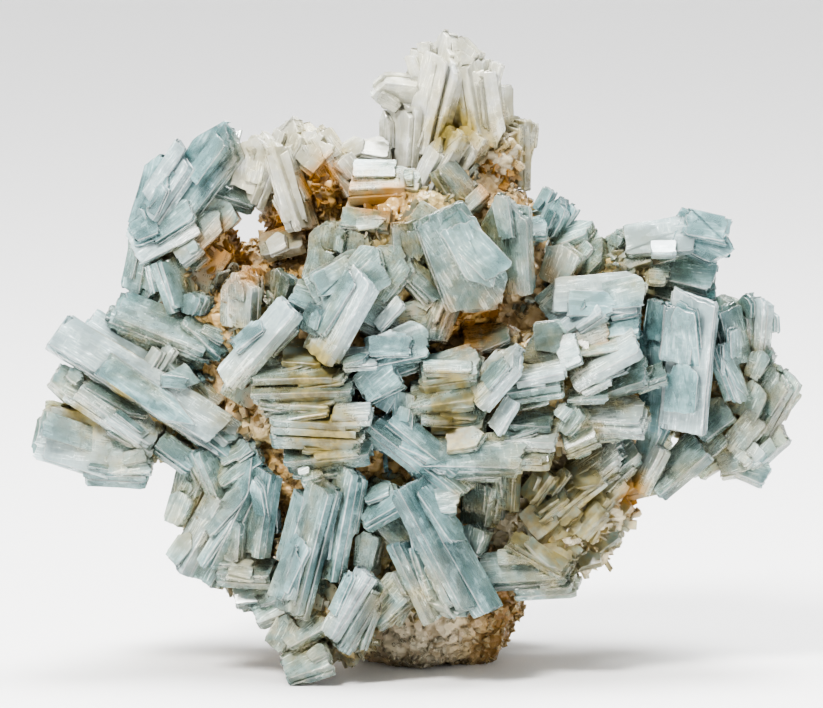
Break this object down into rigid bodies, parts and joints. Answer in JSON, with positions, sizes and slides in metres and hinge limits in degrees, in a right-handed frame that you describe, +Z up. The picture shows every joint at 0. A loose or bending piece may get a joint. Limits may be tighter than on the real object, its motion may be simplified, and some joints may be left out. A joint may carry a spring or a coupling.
{
  "type": "barite crystal specimen",
  "caption": "Cluster of pale blue tabular barite blades grown in fans on a lump of iron-stained matrix, standing on a small flat spot under the matrix.",
  "frame": {"origin": "centre of the small flat spot under the matrix foot, on the plane the specimen stands on", "axes": "+Z up; +X along the longest extent, to the right as seen from the showy side; -Y is the showy front"},
  "size_m": [0.0972, 0.0425, 0.0807],
  "materials": {
    "matrix": "rough, granular, orange-brown with sparkling grains",
    "blue_barite": "translucent pale blue-grey, vitreous, finely striated, with white edges and yellow stain in the hollows",
    "cream_barite": "translucent white to cream, vitreous to pearly, finely striated"
  },
  "bodies": {
    "root": {"matrix": "matrix", "centre_plates": "blue_barite", "left_centre_stack": "blue_barite", "right_centre_stack": "blue_barite", "lower_centre_blades": "blue_barite", "lower_left_blades": "blue_barite", "lower_right_blades": "blue_barite", "left_arm_blades": "blue_barite", "left_shoulder_blades": "blue_barite", "upper_left_blades": "blue_barite", "top_left_peak": "cream_barite", "crown_blades": "cream_barite", "right_arm_blades": "blue_barite", "right_edge_blades": "blue_barite", "back_upper_blades": "blue_barite", "back_left_blades": "blue_barite", "back_right_blades": "blue_barite", "back_lower_blades": "blue_barite"}
  },
  "joints": []
}
